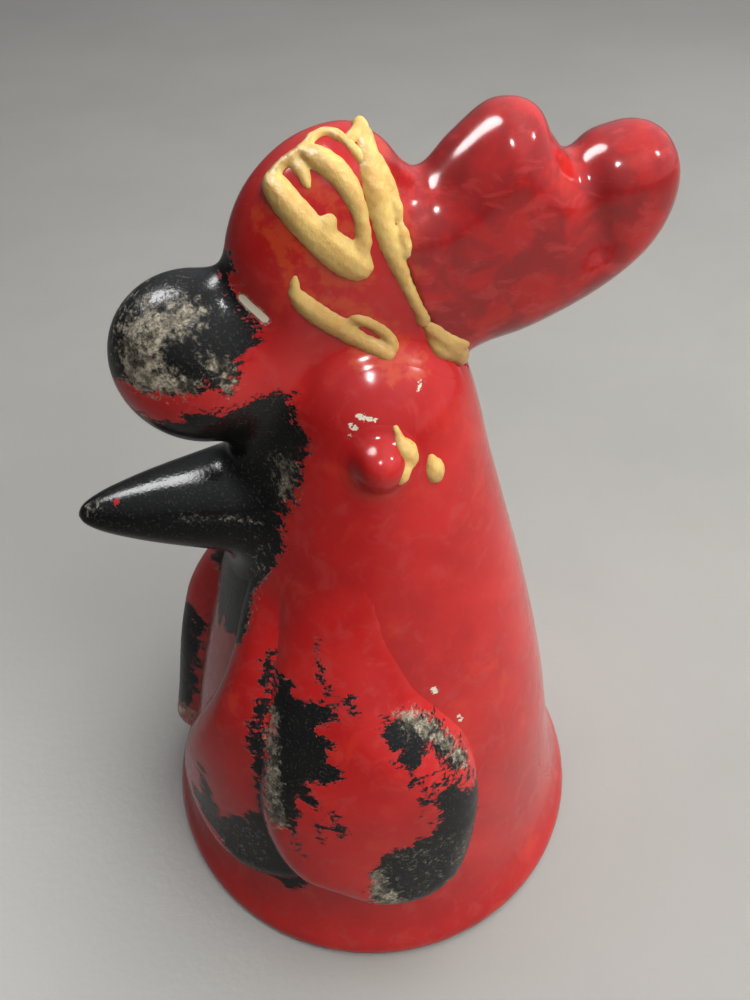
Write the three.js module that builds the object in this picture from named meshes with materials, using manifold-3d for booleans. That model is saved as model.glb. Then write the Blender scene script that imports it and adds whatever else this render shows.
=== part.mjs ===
// Glazed ceramic rooster head: a hollow conical neck that stands on its open rim,
// with a comb, beak, eyes, front wattles and big ear lobes joined on as separate clay
// pieces. The back of the comb is a broken-off fragment, glued on again with beads of
// adhesive. Millimetres, +Z up, beak towards -X, so the bird's left side faces -Y.
import * as THREE from 'three';
import { mergeVertices } from 'three/addons/utils/BufferGeometryUtils.js';
import Module from 'manifold-3d';

const wasm = await Module();
wasm.setup();

// Driving dimensions
const GAP = 0.3;              // clearance between touching pieces
const RIM_RADIUS = 30.8;      // widest radius, just above the foot
const FOOT_RADIUS = 30.0;     // outer radius of the flat foot ring
const WALL = 4.0;             // thickness of the clay wall
const CROWN_HEIGHT = 80.5;    // flat top of the head, under the comb
const CROWN_RADIUS = 6.5;
const CAVITY_TOP = 66.0;
const COMB_THICKNESS = 11.0;
const BEAK_REACH = 32.5;      // from the neck's axis to the tip of the beak
const BEAK_HEIGHT = 60.6;
const BEAK_LENGTH = 21.0;
const EYE_RADIUS = 2.6;
const EYE_HEIGHT = 72.3;
const CRACK_WIDTH = 1.0;      // gap between the comb and its broken-off fragment
const FILM_THICKNESS = 0.4;   // adhesive left inside that gap
const ROUND_STEPS = 40;       // facets around the neck

// The neck's outside radius at a few heights, from the foot to the crown
const NECK_PROFILE = [
  [RIM_RADIUS, 1.4],
  [28.4, 8],
  [26.4, 15],
  [23.2, 30],
  [19.3, 45],
  [14.9, 60],
  [12.4, 67],
  [10.9, 73],
  [9.2, 77.5],
  [CROWN_RADIUS, CROWN_HEIGHT],
];

const COLOURS = {
  red: 0xb42a28,
  black: 0x1b1c1b,
  glue: 0xc9a558,
};

function finish(colour, roughness) {
  return new THREE.MeshStandardMaterial({ color: COLOURS[colour], roughness, metalness: 0 });
}

// Booleans: three.js geometry to a solid and back
function solidOf(geometry) {
  const plain = geometry.clone();
  plain.deleteAttribute('normal');
  plain.deleteAttribute('uv');
  const merged = mergeVertices(plain, 1e-4);
  const corners = merged.index.array;
  const kept = [];
  for (let i = 0; i < corners.length; i += 3) {
    const [a, b, c] = [corners[i], corners[i + 1], corners[i + 2]];
    if (a !== b && b !== c && a !== c) kept.push(a, b, c);
  }
  return new wasm.Manifold(new wasm.Mesh({
    numProp: 3,
    vertProperties: new Float32Array(merged.attributes.position.array),
    triVerts: new Uint32Array(kept),
  }));
}

function geometryOf(solid) {
  const mesh = solid.getMesh();
  const geometry = new THREE.BufferGeometry();
  geometry.setAttribute('position', new THREE.BufferAttribute(mesh.vertProperties, 3));
  geometry.setIndex(new THREE.BufferAttribute(mesh.triVerts, 1));
  geometry.computeVertexNormals();
  return geometry;
}

function without(solid, ...cutters) {
  return cutters.reduce((rest, cutter) => rest.subtract(cutter), solid);
}

function vectors(pairs) {
  return pairs.map(([x, y]) => new THREE.Vector2(x, y));
}

// A profile of [radius, height] pairs turned about the Z axis
function turned(profile, steps) {
  return new THREE.LatheGeometry(vectors(profile), steps).rotateX(Math.PI / 2);
}

function ellipsoid(half, steps = 20) {
  return new THREE.SphereGeometry(1, steps, Math.round(steps * 0.7)).scale(...half);
}

// Neck: radius at a height, and a frame that stands on its surface
function neckRadius(height) {
  const above = NECK_PROFILE.findIndex(([, z]) => z > height);
  const [r0, z0] = NECK_PROFILE[above - 1];
  const [r1, z1] = NECK_PROFILE[above];
  return r0 + (r1 - r0) * (height - z0) / (z1 - z0);
}

const NECK_LEAN = Math.atan((neckRadius(15) - neckRadius(45)) / 30);

// azimuth is measured from the beak, positive towards the bird's left side
function onNeck(azimuth, height, lift) {
  const angle = THREE.MathUtils.degToRad(azimuth);
  const radius = neckRadius(height) + lift;
  const out = new THREE.Vector3(-Math.cos(angle), -Math.sin(angle), 0);
  const tangent = new THREE.Vector3(out.y, -out.x, 0);
  const normal = out.clone().multiplyScalar(Math.cos(NECK_LEAN));
  normal.z = Math.sin(NECK_LEAN);
  const slope = new THREE.Vector3().crossVectors(tangent, normal);
  return new THREE.Matrix4()
    .makeBasis(tangent, normal, slope)
    .setPosition(out.x * radius, out.y * radius, height);
}

// A hanging lobe on the neck: round and wide below, narrowing upwards, half sunk in the
// surface. width and thick are half sizes, and tilt swings its top towards the beak.
function hangingLobe({ azimuth, height, sink, width, thick, length, tilt }, offset = 0) {
  const outline = [
    [0, -0.5], [0.42, -0.48], [0.76, -0.41], [0.95, -0.3], [1, -0.18], [0.94, -0.04],
    [0.78, 0.12], [0.62, 0.26], [0.46, 0.39], [0.26, 0.47], [0, 0.5],
  ];
  const profile = outline.map(([r, s]) => [r, s * (length + 2 * offset)]);
  const solid = turned(profile, 24)
    .scale(width + offset, thick + offset, 1)
    .rotateY(THREE.MathUtils.degToRad(tilt))
    .applyMatrix4(onNeck(azimuth, height, -sink));
  return solidOf(solid);
}

function neckOutside(offset) {
  const side = NECK_PROFILE.map(([r, z]) => [r + offset, z]);
  side[side.length - 1][1] += offset;
  return [[FOOT_RADIUS + offset, 0], ...side, [0, CROWN_HEIGHT + offset]];
}

function neckBody() {
  const inside = [
    [0, CAVITY_TOP],
    [5, CAVITY_TOP - 1],
    [neckRadius(60) - WALL, 60],
    [neckRadius(45) - WALL, 45],
    [neckRadius(30) - WALL, 30],
    [neckRadius(15) - WALL, 15],
    [FOOT_RADIUS - WALL, 0],
  ];
  return turned([...inside, ...neckOutside(0)], ROUND_STEPS);
}

const neckClearance = solidOf(turned([[0, 0], ...neckOutside(GAP)], ROUND_STEPS));

// Comb: a blade of rounded lobes, cut by the crack into two pieces.
// Each lobe is an ellipsoid: its centre's X and Z, its half sizes along X and Z,
// and the turn that lifts its back end.
const COMB_LOBES = [
  { at: [-3.6, 90.4], half: [9.2, 10.5], lift: 0 },
  { at: [11.6, 92.8], half: [7.6, 9.2], lift: 0 },
  { at: [18.9, 89.5], half: [12.8, 7.0], lift: 47 },
  { at: [4.6, 84.2], half: [9.6, 7.8], lift: 0 },
];
const CRACK = [
  [-1.5, 103], [-0.3, 98.1], [0.3, 94.6], [1.0, 92.2], [2.2, 89.8],
  [3.3, 86.8], [4.6, 83.8], [6.6, 80.6], [9.5, 76],
];

// How far the comb's surface stands out from its middle plane at a place on its side
function combHalfThickness(x, z) {
  const heights = COMB_LOBES.map(({ at, half, lift }) => {
    const angle = THREE.MathUtils.degToRad(lift);
    const [dx, dz] = [x - at[0], z - at[1]];
    const along = (dx * Math.cos(angle) + dz * Math.sin(angle)) / half[0];
    const across = (dz * Math.cos(angle) - dx * Math.sin(angle)) / half[1];
    return COMB_THICKNESS / 2 * Math.sqrt(Math.max(0, 1 - along ** 2 - across ** 2));
  });
  return Math.max(...heights);
}

function blade(offset) {
  const lobes = COMB_LOBES.map(({ at, half, lift }) => solidOf(
    ellipsoid([half[0] + offset, COMB_THICKNESS / 2 + offset, half[1] + offset], 20)
      .rotateY(-THREE.MathUtils.degToRad(lift))
      .translate(at[0], 0, at[1])));
  return lobes.reduce((whole, lobe) => whole.add(lobe));
}

// An upright slab through the comb with the outline given as [x, z] pairs
function slab(outline, depth) {
  const shape = new THREE.Shape(vectors(outline));
  const solid = new THREE.ExtrudeGeometry(shape, { depth, bevelEnabled: false });
  return solidOf(solid.translate(0, 0, -depth / 2).rotateX(Math.PI / 2));
}

function crackLine(shift) {
  return CRACK.map(([x, z]) => [x + shift, z]);
}

// Everything behind the crack, whose line is moved by shift along X
function behindCrack(shift) {
  const backEdge = [[40, CRACK.at(-1)[1]], [40, CRACK[0][1]]];
  return slab([...crackLine(shift), ...backEdge], COMB_THICKNESS + 6);
}

function crackFilm() {
  const outline = [...crackLine(-FILM_THICKNESS / 2), ...crackLine(FILM_THICKNESS / 2).reverse()];
  return slab(outline, COMB_THICKNESS - 3);
}

const bladeSolid = without(blade(0), neckClearance);
const bladeClearance = blade(GAP);

function combFrontLobe() {
  const ball = ellipsoid([8.6, 6.6, 9.0], 22).rotateY(-0.45).translate(-16.6, 0, 79.2);
  return geometryOf(without(solidOf(ball), neckClearance, bladeClearance));
}

function combMiddleLobe() {
  return geometryOf(without(bladeSolid, behindCrack(-CRACK_WIDTH / 2)));
}

function combRearFragment() {
  return geometryOf(bladeSolid.intersect(behindCrack(CRACK_WIDTH / 2)));
}

function glueFilm() {
  return geometryOf(crackFilm().intersect(bladeSolid));
}

// Face: beak, eyes, wattles and ear lobes
function beak() {
  const profile = [
    [0, 0], [7.4, 0], [7.2, 4], [6.4, 8.5], [5.2, 12.5], [3.8, 16],
    [2.4, 19], [1.3, 20.6], [0, BEAK_LENGTH],
  ];
  const cone = new THREE.LatheGeometry(vectors(profile), 24)
    .rotateZ(Math.PI / 2)
    .translate(BEAK_LENGTH - BEAK_REACH, 0, BEAK_HEIGHT);
  return geometryOf(without(solidOf(cone), neckClearance));
}

function eye(side) {
  const ball = new THREE.SphereGeometry(EYE_RADIUS, 16, 12)
    .applyMatrix4(onNeck(side * 85, EYE_HEIGHT, -0.2));
  return geometryOf(without(solidOf(ball), neckClearance));
}

function earLobeSolid(side, offset) {
  return hangingLobe({
    azimuth: side * 77, height: 37, sink: 3.4, width: 13.4, thick: 7.4, length: 50, tilt: side * 8,
  }, offset);
}

function earLobe(side) {
  return geometryOf(without(earLobeSolid(side, 0), neckClearance));
}

function wattle(side) {
  const lobe = hangingLobe({
    azimuth: side * 31, height: 31, sink: 3.0, width: 10.8, thick: 6.6, length: 47, tilt: side * 2,
  });
  return geometryOf(without(lobe, neckClearance, earLobeSolid(side, GAP)));
}

// Adhesive: beads laid along the comb's sides, and drops that ran down the face
function bead(points, side, width, height) {
  const path = new THREE.CatmullRomCurve3(points.map(([x, z]) => {
    const lift = combHalfThickness(x, z) + GAP + height * 0.7;
    return new THREE.Vector3(x, -side * lift, z);
  }));
  const section = new THREE.Shape().absellipse(0, 0, height, width, 0, 2 * Math.PI);
  const tube = new THREE.ExtrudeGeometry(section, {
    steps: 2 * points.length,
    curveSegments: 7,
    extrudePath: path,
  });
  return without(solidOf(tube), bladeClearance);
}

const HEEL_HALF = [3.0, 3.0, 3.2];
const HEEL_PLACE = [8.6, -3.6, 78.2];

function heel(offset) {
  const half = HEEL_HALF.map((size) => size + offset);
  return solidOf(ellipsoid(half, 16).translate(...HEEL_PLACE));
}

function seamBead(side) {
  const route = [[-1.2, 99.0], ...CRACK.slice(2, -2)];
  return geometryOf(without(bead(route, side, 1.1, 0.9), heel(GAP)));
}

function drop(azimuth, height, half) {
  const blob = ellipsoid(half, 12).applyMatrix4(onNeck(azimuth, height, 0.4));
  return solidOf(blob);
}

function glueHeel() {
  return geometryOf(without(heel(0), neckClearance, bladeClearance));
}

function glueLoop() {
  const ring = bead([
    [-2.6, 96.4], [-4.2, 98.6], [-6.4, 99.4], [-8.4, 98.2], [-7.6, 95.8], [-5.6, 93.2],
    [-3.4, 91.0],
  ], 1, 1.0, 0.8);
  const pool = ellipsoid([2.2, 1.2, 2.4], 14)
    .translate(-2.6, -(COMB_THICKNESS / 2 + GAP), 90.4);
  return geometryOf(ring.add(without(solidOf(pool), bladeClearance)));
}

function glueLowerBead() {
  return geometryOf(bead([[-7.8, 88.4], [-5.8, 86.2], [-3.4, 84.3], [-1.2, 82.9]], 1, 0.9, 0.7));
}

function glueDrop(azimuth, height, half, ...neighbours) {
  return geometryOf(without(drop(azimuth, height, half), neckClearance, ...neighbours));
}

const eyeClearance = solidOf(new THREE.SphereGeometry(EYE_RADIUS + GAP, 16, 12)
  .applyMatrix4(onNeck(85, EYE_HEIGHT, -0.2)));

const figure = new THREE.Group();
// The rim and the beak reach equally far from the origin
figure.position.x = (BEAK_REACH - RIM_RADIUS) / 2;

function add(name, geometry, colour, roughness = 0.18) {
  const mesh = new THREE.Mesh(geometry, finish(colour, roughness));
  mesh.name = name;
  figure.add(mesh);
}

add('neck_body', neckBody(), 'red');
add('beak', beak(), 'black');
for (const [name, side] of [['left', 1], ['right', -1]]) {
  add(`eye_${name}`, eye(side), 'red');
  add(`ear_lobe_${name}`, earLobe(side), 'red');
  add(`wattle_${name}`, wattle(side), 'red');
}
add('comb_front_lobe', combFrontLobe(), 'black');
add('comb_middle_lobe', combMiddleLobe(), 'red');
add('comb_rear_fragment', combRearFragment(), 'red');
add('glue_film', glueFilm(), 'glue', 0.35);
add('glue_seam_left', seamBead(1), 'glue', 0.35);
add('glue_seam_right', seamBead(-1), 'glue', 0.35);
add('glue_loop', glueLoop(), 'glue', 0.35);
add('glue_lower_bead', glueLowerBead(), 'glue', 0.35);
add('glue_heel', glueHeel(), 'glue', 0.35);
add('glue_drop_eye', glueDrop(99, 73.4, [1.1, 0.8, 1.4], eyeClearance), 'glue', 0.35);
add('glue_drop_cheek', glueDrop(112, 71, [0.9, 0.7, 1.5]), 'glue', 0.35);

const roosterHead = new THREE.Group();
roosterHead.add(figure);

export default roosterHead;
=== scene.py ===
"""Glazed ceramic rooster head with a glued-back comb fragment.

Every shape is a signed distance in millimetres, measured from the neck's axis: the beak points
along -X, the bird's left side faces -Y and Z is up. The shapes are turned into closed meshes and
moved into the frame, in metres, at the end.
"""
import math

import bpy
import numpy as np
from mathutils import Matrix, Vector


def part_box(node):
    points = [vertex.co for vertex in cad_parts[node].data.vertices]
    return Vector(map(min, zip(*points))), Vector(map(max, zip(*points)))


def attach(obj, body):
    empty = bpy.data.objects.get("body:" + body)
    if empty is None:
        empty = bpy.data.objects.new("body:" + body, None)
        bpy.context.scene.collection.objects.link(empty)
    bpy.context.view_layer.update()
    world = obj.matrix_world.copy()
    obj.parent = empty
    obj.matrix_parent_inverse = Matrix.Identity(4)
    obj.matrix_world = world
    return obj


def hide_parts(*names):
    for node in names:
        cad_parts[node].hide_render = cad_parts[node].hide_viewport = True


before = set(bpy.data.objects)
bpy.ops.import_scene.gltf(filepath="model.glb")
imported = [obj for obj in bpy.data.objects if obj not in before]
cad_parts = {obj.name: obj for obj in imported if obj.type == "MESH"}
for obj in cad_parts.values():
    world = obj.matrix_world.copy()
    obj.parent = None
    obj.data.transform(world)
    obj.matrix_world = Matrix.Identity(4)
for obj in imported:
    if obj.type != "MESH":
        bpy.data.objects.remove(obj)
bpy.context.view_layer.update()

# ---------------------------------------------------------------- driving dimensions, mm
MM = 0.001
WALL = 4.0
CAVITY_TOP = 64.0
CAVITY_EDGE = 4.0
FOOT_EDGE = 1.6
RIM_EDGE = 1.0
NECK = [
    (30.9, -6.0), (30.6, 1.0), (29.1, 4.5), (27.8, 8.0), (26.2, 15.0), (23.2, 30.0), (19.3, 45.0),
    (15.4, 58.0), (13.0, 66.0), (11.4, 72.0), (9.6, 77.0), (6.4, 80.9), (2.6, 82.6), (0.0, 83.0),
]
BEAK_HEIGHT = 60.6
BEAK = [
    (0.0, -32.6), (1.1, -31.9), (2.2, -30.0), (3.3, -27.0), (4.3, -23.6), (5.3, -19.6),
    (6.3, -15.4), (7.2, -11.0), (8.0, -4.0),
]
BALL_CENTRE = (-16.6, 0.0, 79.2)
BALL_HALF = (8.6, 6.6, 9.0)
BALL_LEAN = 0.45
COMB_HALF = 4.9
COMB_OUTLINE = [
    (-14.6, 66.0), (-13.6, 74.0), (-12.6, 84.0), (-13.2, 89.0), (-12.4, 92.6), (-10.6, 95.8), (-7.9, 98.4),
    (-4.9, 99.9), (-1.6, 100.3), (1.1, 98.9), (3.0, 96.8), (4.7, 96.2), (7.0, 98.6),
    (10.0, 101.1), (12.4, 101.5), (14.4, 100.8), (16.2, 98.9), (17.9, 97.7), (20.4, 98.4),
    (23.7, 99.0), (26.3, 98.1), (28.0, 95.6), (28.3, 92.4), (27.3, 89.0), (25.0, 86.0),
    (21.0, 83.0), (15.5, 80.2), (10.2, 78.3), (6.0, 74.0), (0.0, 66.0), (-7.0, 62.0),
]
SEAM = [
    (-2.0, 106.0), (-1.1, 101.0), (-0.3, 98.1), (0.3, 94.6), (1.0, 92.2), (2.2, 89.8),
    (3.3, 86.8), (4.6, 83.8), (6.6, 80.6), (8.9, 77.0), (10.5, 73.0),
]
SEAM_GAP = 0.22
COMB_SWELLS = [  # (x, z, reach, how much thicker on each side)
    (-3.6, 90.0, 9.0, 0.9), (11.5, 93.0, 7.0, 0.5), (23.0, 91.5, 7.0, -0.3), (2.0, 78.0, 9.0, -0.5),
]
VALLEY_LOW = (20.6, 89.0)
VALLEY_HIGH = (17.6, 97.5)
VALLEY_DEPTH = 0.8
VALLEY_WIDTH = 1.8
HEAD_BLEND = 1.6
BALL_BLEND = 3.4
BEAK_BLEND = 2.6
EYE_BLEND = 1.4
BEAK_ROOT = -6.0
MOUTH_ANGLE = 1.19
MOUTH_DEPTH = 0.16
MOUTH_WIDTH = 0.4
MOUTH_FRONT = (-26.0, -20.0)
EYE_AZIMUTH = math.radians(85)
EYE_OUT = 10.9
EYE_HEIGHT = 72.4
EYE_HALF = (2.5, 2.6, 2.5)
# The hanging lobes' outlines are (degrees round the neck from the beak, height).
EAR_LOBE = [
    (80, 58.0), (85, 52.8), (89, 49.9), (94, 46.3), (99, 43.9), (108, 39.1), (111, 36.5),
    (114, 31.6), (113, 27.1), (109, 20.5), (103, 16.9), (96, 14.7), (89, 13.6), (82, 13.4),
    (75, 14.0), (68, 15.4), (59, 16.8), (52, 20.0), (47, 24.5), (44, 30.0), (42.0, 39.0),
    (41, 48.6), (46, 58.0), (64, 62.0),
]
EAR_RISE = 5.1
EAR_EDGE = 6.0
EAR_FADE = (32.0, 60.0)
WATTLE_FOOT = [
    (64, 28.0), (65, 16.5), (60, 12.9), (55, 11.6), (49, 10.6), (42, 10.0), (33, 10.3),
]
WATTLE_FRONT = {
    -1: [
        (24, 12.2), (16, 15.0), (11, 20.0), (13, 27.0), (19, 34.0), (25, 40.5), (26, 46.0),
        (24, 51.0), (30, 57.0),
    ],
    1: [
        (20, 8.0), (12, 8.0), (7, 11.5), (9, 26.0), (13, 34.5), (18, 42.0), (24, 50.0),
        (30, 56.0),
    ],
}
WATTLE_TOP = [(50, 52.0), (58, 40.0)]
WATTLE = {side: WATTLE_FOOT + front + WATTLE_TOP for side, front in WATTLE_FRONT.items()}
WATTLE_RISE = {-1: (3.2, 5.6), 1: (3.4, 4.4)}
WATTLE_EDGE = {-1: 4.6, 1: 3.6}
WATTLE_FADE = {-1: (38.0, 57.0), 1: (35.0, 54.5)}
WATTLE_SWELLS_OVER = (12.0, 42.0)
WATTLE_REAR = (0.35, 1.1)
WATTLE_REAR_LOSS = 0.35
LOBE_ROUNDNESS = 2.3


# ---------------------------------------------------------------- distance helpers
def smooth_curve(points, closed, parts=6):
    """Catmull-Rom curve through the points."""
    p = np.array(points, float)
    if closed:
        p = np.vstack([p[-1:], p, p[:2]])
    else:
        p = np.vstack([2 * p[:1] - p[1:2], p, 2 * p[-1:] - p[-2:-1]])
    t = (np.arange(parts) / parts)[None, :, None]
    a, b, c, d = (p[i:len(p) - 3 + i, None, :] for i in range(4))
    curve = 0.5 * (
        2 * b + (c - a) * t + (2 * a - 5 * b + 4 * c - d) * t**2 + (3 * b - a - 3 * c + d) * t**3
    )
    curve = curve.reshape(-1, p.shape[1])
    if not closed:
        curve = np.vstack([curve, p[-2:-1]])
    return curve


def segments(curve, closed):
    ends = np.roll(curve, -1, axis=0)
    if closed:
        return curve, ends
    return curve[:-1], ends[:-1]


def distance_to(u, v, curve, closed):
    """Distance from the points (u, v) to a curve in their plane."""
    best = np.full(u.shape, 1e9)
    for start, end in zip(*segments(curve, closed)):
        along = end - start
        t = ((u - start[0]) * along[0] + (v - start[1]) * along[1]) / (along @ along + 1e-12)
        t = np.clip(t, 0, 1)
        gap = (u - start[0] - t * along[0]) ** 2 + (v - start[1] - t * along[1]) ** 2
        best = np.minimum(best, gap)
    return np.sqrt(best)


def inside(u, v, curve):
    """Even-odd test against a closed curve."""
    odd = np.zeros(u.shape, bool)
    for start, end in zip(*segments(curve, True)):
        if start[1] == end[1]:
            continue
        spans = (v < start[1]) != (v < end[1])
        cut = start[0] + (v - start[1]) * (end[0] - start[0]) / (end[1] - start[1])
        odd ^= spans & (u < cut)
    return odd


class Chart:
    """A value on a flat grid, read back between the grid's points."""

    def __init__(self, low, high, step, rule):
        self.low = np.array(low, float)
        self.step = step
        u = np.arange(low[0], high[0] + step, step)
        v = np.arange(low[1], high[1] + step, step)
        self.value = rule(*np.meshgrid(u, v, indexing="ij"))

    def __call__(self, u, v):
        a = np.clip((u - self.low[0]) / self.step, 0, self.value.shape[0] - 1.001)
        b = np.clip((v - self.low[1]) / self.step, 0, self.value.shape[1] - 1.001)
        i = a.astype(int)
        j = b.astype(int)
        a = a - i
        b = b - j
        lower = self.value[i, j] * (1 - a) + self.value[i + 1, j] * a
        upper = self.value[i, j + 1] * (1 - a) + self.value[i + 1, j + 1] * a
        return lower * (1 - b) + upper * b


def outline_chart(points, margin=12.0, step=0.25):
    """Signed distance to a closed smooth outline, negative inside."""
    curve = smooth_curve(points, True)

    def rule(u, v):
        gap = distance_to(u, v, curve, True)
        return np.where(inside(u, v, curve), -gap, gap)

    return Chart(curve.min(0) - margin, curve.max(0) + margin, step, rule)


def turned_chart(points, low, high, step=0.25):
    """Signed distance to a turned shape, in its (radius, height) half-plane."""
    curve = smooth_curve(points, False)

    def rule(radius, height):
        gap = distance_to(radius, height, curve, False)
        order = np.argsort(curve[:, 1])
        edge = np.interp(height, curve[order, 1], curve[order, 0], right=-1.0, left=-1.0)
        return np.where(radius < edge, -gap, gap)

    return Chart(low, high, step, rule)


def smooth_min(a, b, k):
    h = np.maximum(k - np.abs(a - b), 0) / k
    return np.minimum(a, b) - h * h * k / 4


def smooth_max(a, b, k):
    return -smooth_min(-a, -b, k)


def ramp(low, high, x):
    t = np.clip((x - low) / (high - low), 0, 1)
    return t * t * (3 - 2 * t)


def ellipsoid(p, centre, half, lean=0.0):
    """Distance to an ellipsoid that leans about Y, close to true near its surface."""
    q = p - np.array(centre)
    c, s = math.cos(lean), math.sin(lean)
    q = np.stack([c * q[..., 0] + s * q[..., 2], q[..., 1], c * q[..., 2] - s * q[..., 0]], -1)
    near = np.linalg.norm(q / np.array(half), axis=-1)
    far = np.linalg.norm(q / np.array(half) ** 2, axis=-1)
    return near * (near - 1) / np.maximum(far, 1e-9)


def capsule(p, start, end, r0, r1):
    start, end = np.array(start, float), np.array(end, float)
    along = end - start
    t = np.clip(((p - start) @ along) / (along @ along), 0, 1)
    return np.linalg.norm(p - start - t[..., None] * along, axis=-1) - (r0 + (r1 - r0) * t)


# ---------------------------------------------------------------- shapes of the casting
neck_chart = turned_chart(NECK, (0.0, -12.0), (60.0, 112.0))
beak_chart = turned_chart(BEAK, (0.0, -60.0), (40.0, 40.0))
comb_chart = outline_chart(COMB_OUTLINE, margin=40.0)


def azimuth(p, side):
    """Angle round the neck from the beak, positive towards the given side (-1 is the left)."""
    return np.arctan2(side * p[..., 1], -p[..., 0])


def neck_radius(z):
    order = np.array(NECK)[:, ::-1]
    return np.interp(z, order[:, 0], order[:, 1])


def unrolled(points):
    """(degrees, height) on the neck to flat millimetres."""
    return [(math.radians(a) * float(neck_radius(z)), z) for a, z in points]


ear_chart = outline_chart(unrolled(EAR_LOBE))
wattle_charts = {side: outline_chart(unrolled(points)) for side, points in WATTLE.items()}


def side_skin(p):
    """Distance to the neck's outer skin, without its foot or its cavity."""
    rho = np.hypot(p[..., 0], p[..., 1])
    return neck_chart(rho, p[..., 2])


def neck(p):
    skin = side_skin(p)
    cavity = smooth_max(skin + WALL, p[..., 2] - CAVITY_TOP, CAVITY_EDGE)
    return smooth_max(smooth_max(skin, -p[..., 2], FOOT_EDGE), -cavity, RIM_EDGE)


def swell(depth, width):
    """Height of a rounded cushion that starts at its outline, from 0 to 1."""
    t = np.clip(depth / width, 0, 1)
    return 1 - (1 - t) ** LOBE_ROUNDNESS


def relief(p, chart, side, height, width, fade_from, fade_to):
    """How far a hanging lobe stands above the neck's skin."""
    u = azimuth(p, side) * neck_radius(p[..., 2])
    depth = -chart(u, p[..., 2])
    fade = 1 - ramp(fade_from, fade_to, p[..., 2])
    return np.where(depth > 0, height * fade * swell(depth, width), depth)


def ear_relief(p, side):
    return relief(p, ear_chart, side, EAR_RISE, EAR_EDGE, *EAR_FADE)


def wattle_relief(p, side):
    """Highest along its front edge, lower where the ear lobe lies against it."""
    low, high = WATTLE_RISE[side]
    height = low + (high - low) * ramp(*WATTLE_SWELLS_OVER, p[..., 2])
    height = height * (1 - WATTLE_REAR_LOSS * ramp(*WATTLE_REAR, azimuth(p, side)))
    return relief(p, wattle_charts[side], side, height, WATTLE_EDGE[side], *WATTLE_FADE[side])


def beak_shape(p):
    """A turned cone with a shallow groove along each side of the mouth."""
    rho = np.hypot(p[..., 1], p[..., 2] - BEAK_HEIGHT)
    turn = np.arctan2(np.abs(p[..., 1]), p[..., 2] - BEAK_HEIGHT)
    mouth = MOUTH_DEPTH * np.exp(-((rho * (turn - MOUTH_ANGLE) / MOUTH_WIDTH) ** 2))
    mouth = mouth * ramp(*MOUTH_FRONT, p[..., 0])
    return np.maximum(beak_chart(rho, p[..., 0]) + mouth, p[..., 0] - BEAK_ROOT)


def ball_shape(p):
    return ellipsoid(p, BALL_CENTRE, BALL_HALF, BALL_LEAN)


def comb_shape(p):
    """A slab with the comb's outline, fully rounded edges and a soft swelling in each lobe."""
    x, z = p[..., 0], p[..., 2]
    half = COMB_HALF
    for x0, z0, reach, more in COMB_SWELLS:
        half = half + more * np.exp(-((x - x0) ** 2 + (z - z0) ** 2) / reach**2)
    edge = np.maximum(comb_chart(x, z) + half, 0)
    groove = VALLEY_DEPTH * np.exp(-((valley_gap(p) / VALLEY_WIDTH) ** 2))
    return np.hypot(edge, p[..., 1]) - half + groove


def valley_gap(p):
    """Distance from the soft groove that runs down from between the last two lobes."""
    low, high = np.array(VALLEY_LOW), np.array(VALLEY_HIGH)
    along = high - low
    u, v = p[..., 0] - low[0], p[..., 2] - low[1]
    t = np.clip((u * along[0] + v * along[1]) / (along @ along), 0.1, 1.2)
    return np.hypot(u - t * along[0], v - t * along[1])


def eye_shape(p, side):
    x = -EYE_OUT * math.cos(EYE_AZIMUTH)
    y = side * EYE_OUT * math.sin(EYE_AZIMUTH)
    return ellipsoid(p, (x, y, EYE_HEIGHT), EYE_HALF)


seam_curve = smooth_curve(SEAM, False)


def seam_rule(x, z):
    gap = distance_to(x, z, seam_curve, False)
    order = np.argsort(seam_curve[:, 1])
    edge = np.interp(z, seam_curve[order, 1], seam_curve[order, 0])
    return np.where(x < edge, -gap, gap)


seam_chart = Chart((-40.0, 60.0), (50.0, 112.0), 0.25, seam_rule)


def seam_side(p):
    """Distance from the crack: negative towards the beak, positive on the fragment's side."""
    return seam_chart(p[..., 0], p[..., 2])


# ---------------------------------------------------------------- pieces of the casting
PIECE_PROUD = 0.04
RIM_SINK = 0.14


def grown(base, part, blend, depth=1.6):
    """The skin where part grows out of base. Its rim fades just under the base's own skin."""
    joined = smooth_min(base, part, blend)
    fade = RIM_SINK * ramp(0.9 * blend, 1.7 * blend, part)
    end = (depth + 0.6) * ramp(1.7 * blend, 2.2 * blend, part)
    return np.maximum(joined - PIECE_PROUD + fade + end, -base - depth)


def laid_on(p, height, depth=1.2):
    """A lobe that lies on the neck's skin."""
    skin = side_skin(p)
    return np.maximum(skin - height, -skin - depth)


def ear_lobe(side):
    return lambda p: laid_on(p, ear_relief(p, side))


def wattle(side):
    return lambda p: laid_on(p, wattle_relief(p, side))


def eye(side):
    return lambda p: grown(side_skin(p), eye_shape(p, side), EYE_BLEND)


def middle_lobe(p):
    return np.maximum(grown(side_skin(p), comb_shape(p), HEAD_BLEND, 6.0), seam_side(p) + SEAM_GAP)


def fragment(p):
    return np.maximum(grown(side_skin(p), comb_shape(p), HEAD_BLEND, 0.6), SEAM_GAP - seam_side(p))


def head_and_comb(p):
    return smooth_min(side_skin(p), comb_shape(p), HEAD_BLEND)


def front_lobe(p):
    return grown(head_and_comb(p), ball_shape(p), BALL_BLEND)


def beak(p):
    base = smooth_min(head_and_comb(p), ball_shape(p), BALL_BLEND)
    return grown(base, beak_shape(p), BEAK_BLEND)


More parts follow.
